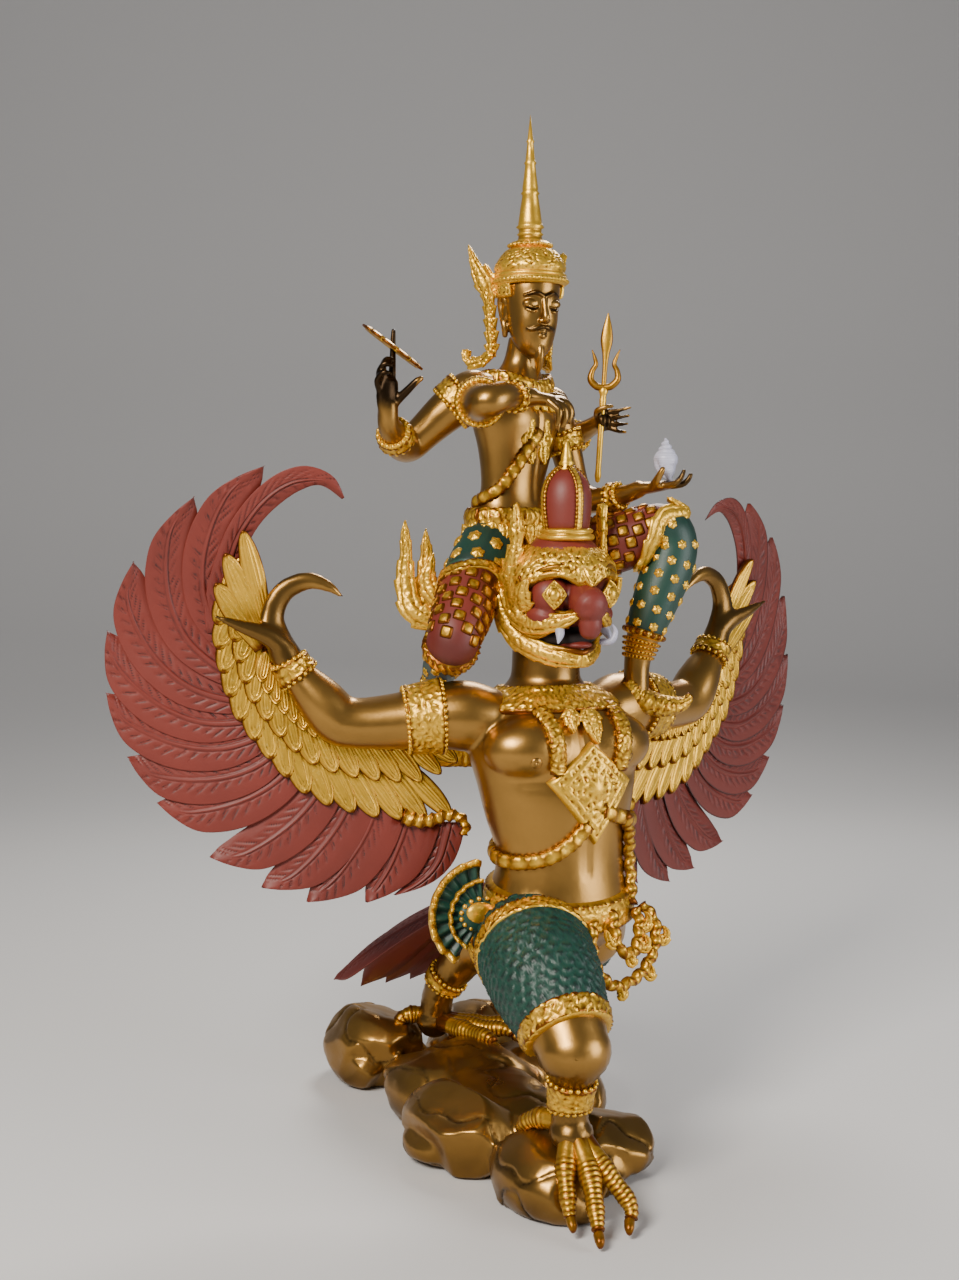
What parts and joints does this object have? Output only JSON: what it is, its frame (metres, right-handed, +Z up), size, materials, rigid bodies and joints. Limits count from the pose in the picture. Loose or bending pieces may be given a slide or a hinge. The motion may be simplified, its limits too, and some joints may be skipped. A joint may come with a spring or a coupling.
{
  "type": "vishnu on garuda sculpture",
  "caption": "Cast and painted bronze statue of four-armed Vishnu standing on the shoulders of winged Garuda, who strides over a rock.",
  "frame": {"origin": "on the rock's flat underside, below the middle of Garuda's waist", "axes": "+Z up, the figures face -Y, +X towards the figures' left hand"},
  "size_m": [0.5755, 0.4054, 0.72],
  "materials": {
    "bronze": "dark golden patina, polished on the high places",
    "gold": "gold paint, soft sheen",
    "red": "matt brick-red paint, worn at the edges",
    "green": "dark bluish green paint",
    "white": "off-white paint",
    "dark": "black-brown paint in hollows"
  },
  "bodies": {
    "root": {"rock_base": "bronze", "garuda": "bronze", "wing_right": "red", "wing_left": "red", "tail_fan": "red", "vishnu": "bronze", "trident": "gold", "discus": "gold", "conch": "white"}
  },
  "joints": []
}
